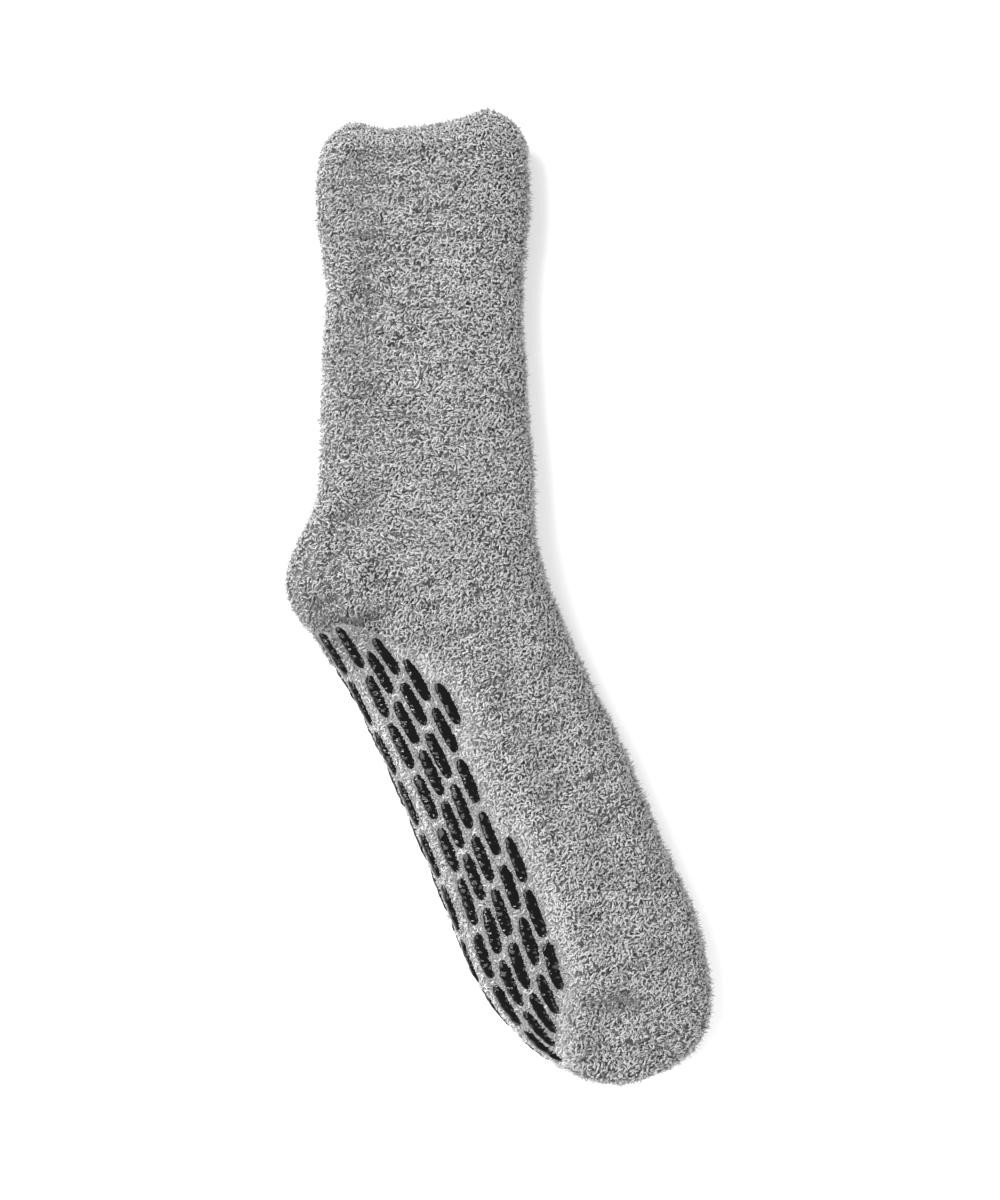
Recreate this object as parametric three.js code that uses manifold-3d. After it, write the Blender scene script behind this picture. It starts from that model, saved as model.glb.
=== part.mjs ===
// A plush slipper sock lying on its side, as it lies empty: a knitted upper that is one hollow shell from
// collar to toe, the welt turned down inside its collar, and the grip tread set into its sole side.
// Millimetres, +Z up, floor at z = 0. The leg runs along +Y, the toe points towards -Y and +X, and the
// sole faces -X. The origin is under the middle of the whole, on the floor.
import * as THREE from "three";
import Module from "manifold-3d";

const wasm = await Module();
wasm.setup();

// Lengths of the upper, measured on its axis.
const legLength = 177; // collar to the crossing of the leg's axis with the foot's
const footReach = 221; // that crossing to the tip of the toe
const footTurn = THREE.MathUtils.degToRad(23.5); // the foot's axis against the leg's
const bendRadius = 120; // of the axis where leg turns into foot
const toeLength = 74; // the rounded end of the foot
const toeLean = 4.4; // how far the toe's tip lies towards the instep side
const collarEar = 7.5; // rise of the collar's highest point over its middle
const collarBlend = 34; // how far down the leg the rim's waves die out

// Flat widths and heights of the upper as it lies, over the plush.
const legWidth = 86;
const footWidth = 92;
const legLoft = 27;
const footLoft = 31;
const settle = 0.8; // how much of the round underside the floor flattens

// Walls and clearances.
const wall = 3.6; // the plush knit
const gap = 0.3; // between pieces that meet
const weltDepth = 38; // of the turned hem below the rim
const weltThickness = 2;

// The grip tread.
const treadStart = 12.5; // from the crossing of the axes to the first stroke, on the axis
const treadToeGap = 37; // from the tread's end to the tip of the toe, on the sole's middle line
const treadHalfWidth = 34; // round the sole, to each side of its middle line
const soleRoll = 10; // the middle line of the sole lies this far round from the folded edge
const treadDepth = 2; // of the pressed ground's seat in the wall
const groundThickness = 0.8;
const strokeLength = 18.8;
const strokeWidth = 4.8;
const strokeDraft = 0.5; // lean of a stroke's sides from foot to crown
const rowPitch = 22.4;
const columnPitch = 6.2;
const strokeMargin = 0.9; // ground left beside a stroke

// Sections of the upper. along is a share of legLength on a leg row and of footReach on a foot row.
// back and front are the reach of the two folded edges from the axis, back on the heel and sole side,
// as shares of legWidth or footWidth, and loft is a share of legLoft or footLoft.
const legSections = [
  { along: 0.0, back: 0.477, front: 0.488, loft: 0.94 },
  { along: 0.07, back: 0.489, front: 0.495, loft: 0.98 },
  { along: 0.135, back: 0.503, front: 0.501, loft: 1.02 },
  { along: 0.2, back: 0.491, front: 0.497, loft: 1.02 },
  { along: 0.28, back: 0.468, front: 0.48, loft: 0.98 },
  { along: 0.37, back: 0.453, front: 0.47, loft: 0.97 },
  { along: 0.47, back: 0.464, front: 0.47, loft: 0.99 },
  { along: 0.61, back: 0.48, front: 0.492, loft: 1.02 },
  { along: 0.73, back: 0.479, front: 0.513, loft: 1.05 },
  { along: 0.81, back: 0.491, front: 0.518, loft: 1.08 },
  { along: 0.86, back: 0.517, front: 0.52, loft: 1.11 },
  { along: 0.9, back: 0.572, front: 0.519, loft: 1.15 },
  { along: 0.945, back: 0.634, front: 0.518, loft: 1.19 },
  { along: 0.99, back: 0.661, front: 0.521, loft: 1.21 },
];
const footSections = [
  { along: 0.024, back: 0.598, front: 0.49, loft: 1.05 },
  { along: 0.051, back: 0.552, front: 0.491, loft: 1.04 },
  { along: 0.087, back: 0.519, front: 0.49, loft: 1.01 },
  { along: 0.128, back: 0.495, front: 0.485, loft: 0.98 },
  { along: 0.236, back: 0.48, front: 0.478, loft: 0.95 },
  { along: 0.354, back: 0.477, front: 0.491, loft: 0.96 },
  { along: 0.507, back: 0.483, front: 0.494, loft: 1.0 },
  { along: 0.643, back: 0.492, front: 0.5, loft: 1.0 },
  { along: 0.76, back: 0.496, front: 0.49, loft: 0.97 },
  { along: 0.84, back: 0.498, front: 0.476, loft: 0.92 },
  { along: 1.0, back: 0.494, front: 0.488, loft: 0.84 },
];

// The collar's rim as it waves. turn is in degrees round the section, 0 at the back edge, 90 on top and
// 180 at the front edge, and rise is a share of collarEar.
const collarRim = [
  { turn: 0, rise: -1.1 },
  { turn: 25, rise: -0.25 },
  { turn: 49, rise: 0.33 },
  { turn: 75, rise: -0.05 },
  { turn: 105, rise: 0.48 },
  { turn: 124, rise: 1.0 },
  { turn: 150, rise: 0.43 },
  { turn: 180, rise: -0.65 },
  { turn: 225, rise: 0.3 },
  { turn: 270, rise: 0.1 },
  { turn: 315, rise: 0.4 },
  { turn: 360, rise: -1.1 },
];

// Outline of the pressed ground. along is a share of treadLength and half of treadHalfWidth.
const treadOutline = [
  { along: -0.03, half: 0.12 },
  { along: -0.022, half: 0.26 },
  { along: 0.035, half: 0.65 },
  { along: 0.105, half: 0.83 },
  { along: 0.175, half: 1.0 },
  { along: 0.276, half: 1.0 },
  { along: 0.335, half: 0.83 },
  { along: 0.475, half: 0.83 },
  { along: 0.51, half: 1.0 },
  { along: 0.835, half: 1.0 },
  { along: 0.88, half: 0.82 },
  { along: 0.92, half: 0.65 },
  { along: 0.95, half: 0.47 },
  { along: 0.97, half: 0.385 },
  { along: 0.988, half: 0.27 },
  { along: 1.0, half: 0.12 },
];

// Where the ground's facets meet across it, as shares of its half width: closer over the folded edge.
const groundColumns = [-1, -0.66, -0.46, -0.29, -0.12, 0.06, 0.34, 0.67, 1];

// Columns of strokes to each side of the sole's middle line, in columnPitches from it, and where the
// rows of each column fall, in rowPitches.
const strokeColumns = [
  { column: 0.75, stagger: 0.384 },
  { column: 1.75, stagger: 0.018 },
  { column: 2.75, stagger: 0.777 },
  { column: 3.75, stagger: 0.42 },
  { column: 4.75, stagger: 0.022 },
];

// Plan of a stroke. along is a share of half its length and half of half its width.
const strokeShape = [
  { along: -1, half: 0.42 },
  { along: -0.82, half: 0.86 },
  { along: 0, half: 1 },
  { along: 0.82, half: 0.86 },
  { along: 1, half: 0.42 },
];

const roundness = 2.7; // exponent of the sections: 2 is an ellipse, more is squarer
const toeBackRound = 2.15; // exponents of the toe's round end on the sole side
const toeFrontRound = 2.6; // on the instep side
const toeLoftRound = 2.5; // and seen from the side

// How finely the surfaces are cut into facets.
const around = 36; // points round a section
const heelTop = 0.8; // share of the way down the leg where the heel's closer rings begin
const heelFront = 0.13; // share of the foot's reach where they end
const tipFlat = 0.004; // share of toeLength left to the small flat that closes the tip

// Places on the axis: s runs from the middle of the collar's rim to the tip of the toe.
const tangent = bendRadius * Math.tan(footTurn / 2);
const bendStart = legLength - tangent;
const bendEnd = bendStart + bendRadius * footTurn;
const crossing = (bendStart + bendEnd) / 2;
const toeEnd = bendEnd + footReach - tangent;
const toeStart = toeEnd - toeLength;

// One smooth curve through a column of a table whose rows stand at the given places.
function smooth(places, values) {
  const last = places.length - 1;
  const slopes = values.map((_, i) => {
    const a = Math.max(i - 1, 0);
    const b = Math.min(i + 1, last);
    return (values[b] - values[a]) / (places[b] - places[a]);
  });
  return (place) => {
    const p = THREE.MathUtils.clamp(place, places[0], places[last]);
    let i = 0;
    while (i < last - 1 && places[i + 1] < p) i += 1;
    const width = places[i + 1] - places[i];
    const t = (p - places[i]) / width;
    const stay = (1 + 2 * t) * (1 - t) ** 2;
    const leave = t * (1 - t) ** 2 * width;
    const arrive = -(t ** 2) * (1 - t) * width;
    return stay * values[i] + (1 - stay) * values[i + 1] + leave * slopes[i] + arrive * slopes[i + 1];
  };
}

const sectionPlaces = [
  ...legSections.map((row) => row.along * crossing),
  ...footSections.map((row) => crossing + row.along * (toeEnd - crossing)),
];
const sectionCurve = (column, legSize, footSize) =>
  smooth(sectionPlaces, [
    ...legSections.map((row) => row[column] * legSize),
    ...footSections.map((row) => row[column] * footSize),
  ]);
const backReach = sectionCurve("back", legWidth, footWidth);
const frontReach = sectionCurve("front", legWidth, footWidth);
const loftAt = sectionCurve("loft", legLoft, footLoft);
const rimRise = smooth(
  collarRim.map((row) => row.turn),
  collarRim.map((row) => row.rise * collarEar),
);

// The axis: straight down the leg, round the bend and straight along the foot.
function axisAt(s) {
  const angle = THREE.MathUtils.clamp((s - bendStart) / bendRadius, 0, footTurn);
  const across = new THREE.Vector3(Math.cos(angle), Math.sin(angle), 0);
  const along = new THREE.Vector3(Math.sin(angle), -Math.cos(angle), 0);
  const straight = s < bendStart ? s - bendStart : Math.max(s - bendEnd, 0);
  const point = new THREE.Vector3(bendRadius, tangent, 0)
    .addScaledVector(across, -bendRadius)
    .addScaledVector(along, straight);
  return { point, across };
}

// How much of its width a section keeps on the way to the tip of the toe.
function toeShare(s, inset, power) {
  const x = THREE.MathUtils.clamp((s - toeStart) / (toeLength - inset), 0, 1);
  return (1 - x ** power) ** (1 / power);
}

// A point of the upper's surface, or of the surface that lies inset below it: s is the place on the
// axis, turn the angle round the section in radians. The section is a superellipse, its underside is
// flattened by the floor, and near the collar it is lifted along the leg with the rim's waves.
function surfacePoint(s, turn, inset) {
  const degrees = THREE.MathUtils.euclideanModulo(THREE.MathUtils.radToDeg(turn), 360);
  const fade = Math.max(1 - s / collarBlend, 0) ** 2;
  const place = s - rimRise(degrees) * fade;
  const { point, across } = axisAt(place);
  const c = Math.cos(turn);
  const h = Math.sin(turn);
  const side = c > 0 ? backReach(s) : frontReach(s);
  const round = c > 0 ? toeBackRound : toeFrontRound;
  const reach = (side - inset) * toeShare(s, inset, round) * Math.abs(c) ** (2 / roundness);
  const halfLoft = (loftAt(s) + settle) / 2;
  const rise = (halfLoft - inset) * toeShare(s, inset, toeLoftRound) * Math.abs(h) ** (2 / roundness);
  const lean = toeLean * THREE.MathUtils.smoothstep(s, toeStart, toeEnd);
  point.addScaledVector(across, lean - Math.sign(c) * reach);
  point.z = Math.max(halfLoft - settle + Math.sign(h) * rise, inset);
  return point;
}

// A solid from its points and the triangles between them.
function solidOf(points, triangles) {
  const mesh = new wasm.Mesh({
    numProp: 3,
    vertProperties: new Float32Array(points.flatMap((p) => [p.x, p.y, p.z])),
    triVerts: new Uint32Array(triangles.flat()),
  });
  return new wasm.Manifold(mesh);
}

// A solid from rings of points that all turn the same way, each joined to the next. Where loop is true
// the last ring is joined to the first. Otherwise each end is closed across its ring, from the points
// that follow its first point to those that come before it. Each four-sided facet is split along its
// shorter diagonal, so that the two faces of a thin wall bend alike.
function ringSolid(rings, loop = false) {
  const count = rings[0].length;
  const points = rings.flat();
  const triangles = [];
  const quad = (a, b, c, d) => {
    const split = points[a].distanceTo(points[c]) <= points[b].distanceTo(points[d]);
    triangles.push(...(split ? [[a, b, c], [a, c, d]] : [[a, b, d], [b, c, d]]));
  };
  const joins = loop ? rings.length : rings.length - 1;
  for (let r = 0; r < joins; r += 1) {
    const low = r * count;
    const high = ((r + 1) % rings.length) * count;
    for (let k = 0; k < count; k += 1) {
      const next = (k + 1) % count;
      quad(low + k, high + k, high + next, low + next);
    }
  }
  if (!loop) {
    const end = joins * count;
    for (let k = 0; k < count / 2 - 1; k += 1) {
      const far = count - 1 - k;
      quad(k, k + 1, far - 1, far);
      quad(end + far, end + far - 1, end + k + 1, end + k);
    }
  }
  return solidOf(points, triangles);
}

// A ring round the upper at one place and depth.
function ringAt({ s, inset }) {
  return Array.from({ length: around }, (_, k) => surfacePoint(s, (-2 * Math.PI * k) / around, inset));
}

// Evenly spaced numbers from one value to another, both included.
function spaced(from, to, count) {
  return Array.from({ length: count + 1 }, (_, i) => THREE.MathUtils.lerp(from, to, i / count));
}

// Places of the rings down the collar, as far as its turned hem reaches.
const collarPlaces = spaced(wall / 2, weltDepth, 3);

// Places of the rings from below the rim to the tip of the toe: closer round the heel, and on the toe
// at even angles of its rounded end, as far as the small flat that closes it.
function ringPlaces(inset, rings) {
  const heelStart = heelTop * crossing;
  const heelEnd = crossing + heelFront * (toeEnd - crossing);
  const toe = spaced(0, Math.PI / 2, rings.toe)
    .slice(0, -1)
    .map((angle) => toeStart + (toeLength - inset) * Math.sin(angle));
  return [
    ...collarPlaces.slice(1, -1),
    ...spaced(weltDepth, heelStart, rings.leg).slice(0, -1),
    ...spaced(heelStart, heelEnd, rings.heel).slice(0, -1),
    ...spaced(heelEnd, toeStart, rings.foot).slice(0, -1),
    ...toe,
    toeEnd - inset - tipFlat * toeLength,
  ].map((s) => ({ s, inset }));
}

// Half a turn over a folded edge that starts at the given depth, its middle level with the rim's.
function foldedEdge(inset, thickness, parts) {
  return spaced(0, Math.PI, parts).map((angle) => ({
    s: wall / 2 - (thickness / 2) * Math.sin(angle),
    inset: inset + (thickness / 2) * (1 - Math.cos(angle)),
  }));
}

// The knitted shell: its outside from the toe up to the collar, over the rounded rim and down again
// inside to the toe.
function upperShell() {
  const outside = ringPlaces(0, { leg: 7, heel: 11, foot: 6, toe: 8 });
  const inside = ringPlaces(wall, { leg: 4, heel: 6, foot: 4, toe: 5 });
  const profile = [...outside.reverse(), ...foldedEdge(0, wall, 4), ...inside];
  return ringSolid(profile.map(ringAt));
}

// The turned hem: a band inside the collar, its fold just below the rim.
function weltBand() {
  const outer = wall + gap;
  const inner = outer + weltThickness;
  const down = collarPlaces.slice(1);
  const profile = [
    ...down.map((s) => ({ s, inset: outer })).reverse(),
    ...foldedEdge(outer, weltThickness, 3),
    ...down.map((s) => ({ s, inset: inner })),
  ];
  return ringSolid(profile.map(ringAt), true);
}

// The angle round the section at s that lies a given way round from the back edge, on the outside.
function turnAt(s, way) {
  const step = THREE.MathUtils.degToRad(2) * Math.sign(way || 1);
  let turn = 0;
  let gone = 0;
  let from = surfacePoint(s, 0, 0);
  for (;;) {
    const to = surfacePoint(s, turn + step, 0);
    const length = from.distanceTo(to);
    if (gone + length >= Math.abs(way)) return turn + (step * (Math.abs(way) - gone)) / length;
    gone += length;
    turn += step;
    from = to;
  }
}

// The middle line of the sole, as places on the axis and the way gone along the line.
const soleLine = (() => {
  const line = spaced(crossing, toeEnd - tipFlat * toeLength, 160).map((s) => ({
    s,
    point: surfacePoint(s, turnAt(s, soleRoll), 0),
  }));
  let gone = 0;
  line.forEach((here, i) => {
    if (i) gone += here.point.distanceTo(line[i - 1].point);
    here.gone = gone;
  });
  return line;
})();
const wayOn = smooth(
  soleLine.map((row) => row.s),
  soleLine.map((row) => row.gone),
);
const placeOn = smooth(
  soleLine.map((row) => row.gone),
  soleLine.map((row) => row.s),
);
const treadOrigin = wayOn(crossing + treadStart);
const treadLength = wayOn(toeEnd) - treadToeGap - treadOrigin;

// A point on the tread: along the sole's middle line, across it round the sole, and below the surface.
function treadPoint(along, across, inset) {
  const s = placeOn(treadOrigin + along);
  return surfacePoint(s, turnAt(s, soleRoll + across), inset);
}

// Half the width of the pressed ground, in straight lines between the rows of its outline.
function groundHalf(along) {
  const share = along / treadLength;
  const i = treadOutline.findIndex((row) => row.along > share);
  if (i < 1) return 0;
  const [a, b] = [treadOutline[i - 1], treadOutline[i]];
  return treadHalfWidth * THREE.MathUtils.mapLinear(share, a.along, b.along, a.half, b.half);
}

// A slab that follows the sole between two depths, with the ground's outline widened by a margin.
function groundSlab(margin, top, bottom) {
  const rows = treadOutline.flatMap((row, i) => {
    const next = treadOutline[i + 1];
    const half = row.half * treadHalfWidth + margin;
    const along = row.along * treadLength;
    if (!next) return [{ along: along + margin, half }];
    const end = next.along * treadLength;
    const parts = Math.ceil((end - along) / rowPitch);
    return spaced(0, 1, parts)
      .slice(0, -1)
      .map((t) => ({
        along: THREE.MathUtils.lerp(along, end, t) - (i || t ? 0 : margin),
        half: THREE.MathUtils.lerp(half, next.half * treadHalfWidth + margin, t),
      }));
  });
  const rings = rows.map(({ along, half }) => {
    const edge = groundColumns.map((share) => share * half);
    return [
      ...edge.map((across) => treadPoint(along, across, top)),
      ...edge.reverse().map((across) => treadPoint(along, across, bottom)),
    ];
  });
  return ringSolid(rings);
}

// One printed stroke: a bar with round ends and drafted sides, carried along its length, that rises from
// inside the ground to the plush's surface.
function stroke(along, across) {
  const root = treadDepth - gap - groundThickness / 2;
  const rings = strokeShape.map((row) => {
    const foot = (row.half * strokeWidth) / 2;
    const crown = foot - strokeDraft;
    const here = along + (row.along * strokeLength) / 2;
    const edge = [[-foot, root], [-crown, 0], [crown, 0], [foot, root]];
    return edge.map(([side, inset]) => treadPoint(here, across + side, inset));
  });
  return ringSolid(rings);
}

// Every stroke that the pressed ground holds whole, in mirrored columns.
function strokes() {
  const bars = [];
  for (const { column, stagger } of strokeColumns) {
    const across = column * columnPitch;
    const reach = across + strokeWidth / 2 + strokeMargin;
    for (let along = stagger * rowPitch; along < treadLength; along += rowPitch) {
      const ends = [along - strokeLength / 2, along + strokeLength / 2];
      const held = ends.every((end) => groundHalf(end) >= reach);
      if (held) bars.push(stroke(along, across), stroke(along, -across));
    }
  }
  return bars;
}

function gripSole() {
  const top = treadDepth - gap - groundThickness;
  return wasm.Manifold.union([groundSlab(0, top, treadDepth - gap), ...strokes()]);
}

// A named mesh from a solid.
function piece(name, solid, finish) {
  const { numProp, vertProperties, triVerts } = solid.getMesh();
  const positions = new THREE.BufferAttribute(vertProperties, numProp);
  const geometry = new THREE.BufferGeometry().setAttribute("position", positions).setIndex([...triVerts]);
  geometry.computeVertexNormals();
  const mesh = new THREE.Mesh(geometry, new THREE.MeshStandardMaterial(finish));
  mesh.name = name;
  return mesh;
}

const seat = groundSlab(gap, -wall / 2, treadDepth);
const plush = { color: "#979797", roughness: 1, metalness: 0 };
const silicone = { color: "#282727", roughness: 0.3, metalness: 0 };

const sock = new THREE.Group();
sock.add(piece("knit_upper", upperShell().subtract(seat), plush));
sock.add(piece("collar_welt", weltBand(), plush));
sock.add(piece("grip_sole", gripSole(), silicone));

const middle = new THREE.Box3().setFromObject(sock).getCenter(new THREE.Vector3());
for (const mesh of sock.children) mesh.position.set(-middle.x, -middle.y, 0);

export default sock;
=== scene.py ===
"""A plush slipper sock as it lies empty on its side, seen from straight above.

The knit carries a deep chenille pile of short curled locks, its hem is turned down inside the collar, and
black silicone strokes are printed on the pressed ground of its sole. Lengths here are in millimetres and
become metres where a mesh is made.
"""

import math

import bpy
import numpy as np
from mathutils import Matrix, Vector


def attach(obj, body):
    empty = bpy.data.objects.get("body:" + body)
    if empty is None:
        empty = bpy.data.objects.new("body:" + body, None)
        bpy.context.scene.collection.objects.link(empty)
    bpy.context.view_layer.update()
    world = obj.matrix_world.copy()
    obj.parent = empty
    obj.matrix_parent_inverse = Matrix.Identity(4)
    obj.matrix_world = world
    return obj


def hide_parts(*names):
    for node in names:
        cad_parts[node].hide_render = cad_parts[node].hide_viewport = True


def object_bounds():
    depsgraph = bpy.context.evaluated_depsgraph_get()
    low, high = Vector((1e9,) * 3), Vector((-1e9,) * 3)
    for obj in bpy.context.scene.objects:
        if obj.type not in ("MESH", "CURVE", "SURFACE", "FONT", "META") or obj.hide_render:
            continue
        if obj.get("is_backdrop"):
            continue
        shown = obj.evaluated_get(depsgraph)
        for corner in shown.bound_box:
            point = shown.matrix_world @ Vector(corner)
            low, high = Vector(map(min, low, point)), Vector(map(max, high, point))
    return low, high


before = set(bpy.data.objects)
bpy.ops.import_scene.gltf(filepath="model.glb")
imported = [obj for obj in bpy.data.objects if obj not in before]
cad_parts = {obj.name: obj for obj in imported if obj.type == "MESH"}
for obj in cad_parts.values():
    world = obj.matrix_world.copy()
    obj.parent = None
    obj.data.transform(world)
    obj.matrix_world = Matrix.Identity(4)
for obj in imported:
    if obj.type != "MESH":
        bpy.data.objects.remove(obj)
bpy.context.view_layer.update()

MM = 0.001  # metres in a millimetre

# Sizes of the upper: its axis, its flat widths and heights, its wall and hem.
LEG_LENGTH = 177
FOOT_REACH = 221
FOOT_TURN = math.radians(23.5)
BEND_RADIUS = 120
TOE_LENGTH = 74
TOE_LEAN = 4.4
COLLAR_EAR = 7.5
COLLAR_BLEND = 34
LEG_WIDTH = 86
FOOT_WIDTH = 92
LEG_LOFT = 27
FOOT_LOFT = 31
SETTLE = 0.8
WALL = 3.6
GAP = 0.3
WELT_DEPTH = 38
WELT_THICKNESS = 2
ROUNDNESS = 2.7
TOE_BACK_ROUND = 2.15
TOE_FRONT_ROUND = 2.6
TOE_LOFT_ROUND = 2.5

# Sizes of the grip tread.
TREAD_START = 12.5  # on the axis, from the middle of the bend
TREAD_TOE_GAP = 37  # from the tread's end to the tip of the toe
TREAD_HALF_WIDTH = 34
SOLE_ROLL = 11  # of the line that the tread's length is measured along, from the folded edge
STROKE_LENGTH = 18.8
STROKE_WIDTH = 4.8
ROW_PITCH = 22.4
COLUMN_PITCH = 6.2
STROKE_MARGIN = 0.9
PRINT_SHIFT = -2.2  # of the printed strokes along the tread, towards the heel
PRINT_DRAW = 40  # from the folded edge to where the columns no longer follow the toe's outline

# Sections: along the leg or foot, reach of the back and front folded edges, and height, all as shares.
LEG_SECTIONS = [
    (0.0, 0.477, 0.488, 0.94),
    (0.07, 0.489, 0.495, 0.98),
    (0.135, 0.503, 0.501, 1.02),
    (0.2, 0.491, 0.497, 1.02),
    (0.28, 0.468, 0.48, 0.98),
    (0.37, 0.453, 0.47, 0.97),
    (0.47, 0.464, 0.47, 0.99),
    (0.61, 0.48, 0.492, 1.02),
    (0.73, 0.479, 0.513, 1.05),
    (0.81, 0.491, 0.518, 1.08),
    (0.86, 0.517, 0.52, 1.11),
    (0.9, 0.572, 0.519, 1.15),
    (0.945, 0.634, 0.518, 1.19),
    (0.99, 0.661, 0.521, 1.21),
]
FOOT_SECTIONS = [
    (0.024, 0.598, 0.49, 1.05),
    (0.051, 0.552, 0.491, 1.04),
    (0.087, 0.519, 0.49, 1.01),
    (0.128, 0.495, 0.485, 0.98),
    (0.236, 0.48, 0.478, 0.95),
    (0.354, 0.477, 0.491, 0.96),
    (0.507, 0.483, 0.494, 1.0),
    (0.643, 0.492, 0.5, 1.0),
    (0.76, 0.496, 0.49, 0.97),
    (0.84, 0.498, 0.476, 0.92),
    (1.0, 0.494, 0.488, 0.84),
]
# The rim's waves: degrees round the section, and rise as a share of COLLAR_EAR.
COLLAR_RIM = [
    (0, -1.1),
    (25, -0.25),
    (49, 0.33),
    (75, -0.05),
    (105, 0.48),
    (124, 1.0),
    (150, 0.43),
    (180, -0.65),
    (225, 0.3),
    (270, 0.1),
    (315, 0.4),
    (360, -1.1),
]
# The pressed ground's outline: shares of the tread's length and of its half width.
TREAD_OUTLINE = [
    (-0.03, 0.12),
    (-0.022, 0.26),
    (0.035, 0.65),
    (0.105, 0.83),
    (0.175, 1.0),
    (0.276, 1.0),
    (0.335, 0.83),
    (0.475, 0.83),
    (0.51, 1.0),
    (0.835, 1.0),
    (0.88, 0.82),
    (0.92, 0.65),
    (0.95, 0.47),
    (0.97, 0.385),
    (0.988, 0.27),
    (1.0, 0.12),
]
# How far the print's middle line lies from the folded edge: share of the tread's length, and distance.
PRINT_ROLL = [
    (0.0, 13.4),
    (0.035, 13.0),
    (0.17, 10.9),
    (0.35, 12.0),
    (0.55, 12.0),
    (0.63, 11.0),
    (0.72, 8.5),
    (0.8, 7.0),
    (0.9, 5.2),
    (1.0, 5.2),
]
# How wide the print lies beyond its first column, as the knit gathers or stretches: share of the tread's
# length, and share of the columns' own pitch.
PRINT_SPREAD = [
    (0.0, 0.8),
    (0.035, 0.83),
    (0.17, 0.99),
    (0.3, 1.0),
    (0.6, 1.0),
    (0.72, 1.08),
    (0.8, 1.02),
    (0.9, 1.0),
    (1.0, 0.85),
]
# Columns of strokes to each side of the print's middle line, in pitches, and where their rows fall.
STROKE_COLUMNS = [(0.75, 0.384), (1.75, 0.018), (2.75, 0.777), (3.75, 0.42), (4.75, 0.022)]
FIRST_COLUMN = STROKE_COLUMNS[0][0] * COLUMN_PITCH

# How the plush is built up over the knit.
ROOT_DEPTH = 1.15  # of the locks' roots below the outline of the pile
SKIN_DEPTH = 1.0  # of the knit that shows between the locks
PRESSED_DEPTH = 0.9  # of the ground that was pressed flat for printing
GROUND_THICKNESS = 0.8
INNER_DEPTH = 5.3  # of the hem's inner face, where its own pile is rooted
WELT_PILE = 0.5  # of the hem's thickness that is left to that pile
RIM_PLACE = WALL / 2  # where the outside begins to turn over the rim
SUNK_DEPTH = 1.2  # of the knit under the pressed ground, below the knit beside it
UNDERSIDE = 0.36  # share to each side of the underside's middle where the floor thins the pile
UNDERSIDE_BARE = 0.42  # and where it leaves no stray fibres
STREWN_GIRTH = 230  # a little more than the skin measures round at the locks' roots, at its widest

# Where the pile is brushed smooth and pale, and in depth how much. The rest is as for the creases below.
BRUSHED = [
    # The heel row lays its locks flatter and also pales them: that paleness is painted light for the light
    # falling on the heel's upper side.
    {"way": 166, "share": 0.15, "run": 18, "width": 10, "lean": 10, "depth": 1.0},
    {"way": 40, "share": 0.5, "run": 60, "width": 10, "lean": 90, "depth": 0.3},
    {"way": 110, "share": 0.55, "run": 60, "width": 10, "lean": 90, "depth": 0.3},
    {"way": 275, "share": 0.88, "run": 34, "width": 10, "lean": 90, "depth": 0.6},
    {"way": 385, "share": 0.62, "run": 14, "width": 7, "lean": 0, "depth": 0.4},
]

# Soft troughs and ridges of the lying sock. way is down the sock from the collar, share is round the
# section from the back edge (0) over the top (1 at the front edge) or the underside (-1). run and
# width are half its length and half its width, lean is in degrees from straight round the sock.
# The locks' tones follow these creases too: painted shade in the troughs and painted light on the ridges.
CREASES = [
    {"way": 8, "share": 0.36, "run": 16, "width": 2.6, "lean": -4, "depth": -0.8},
    {"way": 20, "share": 0.38, "run": 34, "width": 13, "lean": 0, "depth": -0.3},
    {"way": 39, "share": 0.62, "run": 20, "width": 1.3, "lean": 2, "depth": -0.5},
    {"way": 40, "share": 0.2, "run": 16, "width": 1.3, "lean": 0, "depth": -0.35},
    {"way": 40, "share": -0.5, "run": 40, "width": 1.4, "lean": 0, "depth": -0.4},
    {"way": 85, "share": 0.24, "run": 80, "width": 8, "lean": 90, "depth": -0.65},
    {"way": 66, "share": 0.3, "run": 6, "width": 1.5, "lean": 8, "depth": -0.5},
    {"way": 112, "share": 0.42, "run": 13, "width": 1.5, "lean": 2, "depth": -0.6},
    {"way": 108, "share": 0.86, "run": 7, "width": 1.4, "lean": -4, "depth": -0.5},
    {"way": 76, "share": 0.9, "run": 5, "width": 1.6, "lean": 8, "depth": -0.5},
    {"way": 154, "share": 0.145, "run": 5, "width": 1.8, "lean": 0, "depth": -0.6},
    {"way": 168, "share": 0.39, "run": 6, "width": 2.4, "lean": 4, "depth": -0.6},
    {"way": 176.2, "share": 0.17, "run": 7, "width": 2.0, "lean": 0, "depth": -0.9},
    {"way": 180, "share": 0.15, "run": 16, "width": 6, "lean": 8, "depth": -0.6},
    {"way": 185, "share": 0.19, "run": 15, "width": 3.4, "lean": 0, "depth": -1.6},
    {"way": 184, "share": 0.33, "run": 8, "width": 2.6, "lean": -6, "depth": -0.9},
    {"way": 256, "share": 0.61, "run": 34, "width": 7, "lean": 90, "depth": -0.6},
    {"way": 274, "share": 0.5, "run": 75, "width": 5, "lean": 93, "depth": 0.4},
    {"way": 363, "share": 0.505, "run": 12, "width": 5.5, "lean": 24, "depth": -1.5},
    {"way": 398, "share": 0.5, "run": 8, "width": 3.5, "lean": 10, "depth": -0.6},
]


# Colours and meshes


def linear(hex_colour):
    """An sRGB hex colour as linear red, green, blue and alpha."""
    parts = [int(hex_colour[i : i + 2], 16) / 255 for i in (1, 3, 5)]
    return [p / 12.92 if p <= 0.04045 else ((p + 0.055) / 1.055) ** 2.4 for p in parts] + [1.0]


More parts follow.
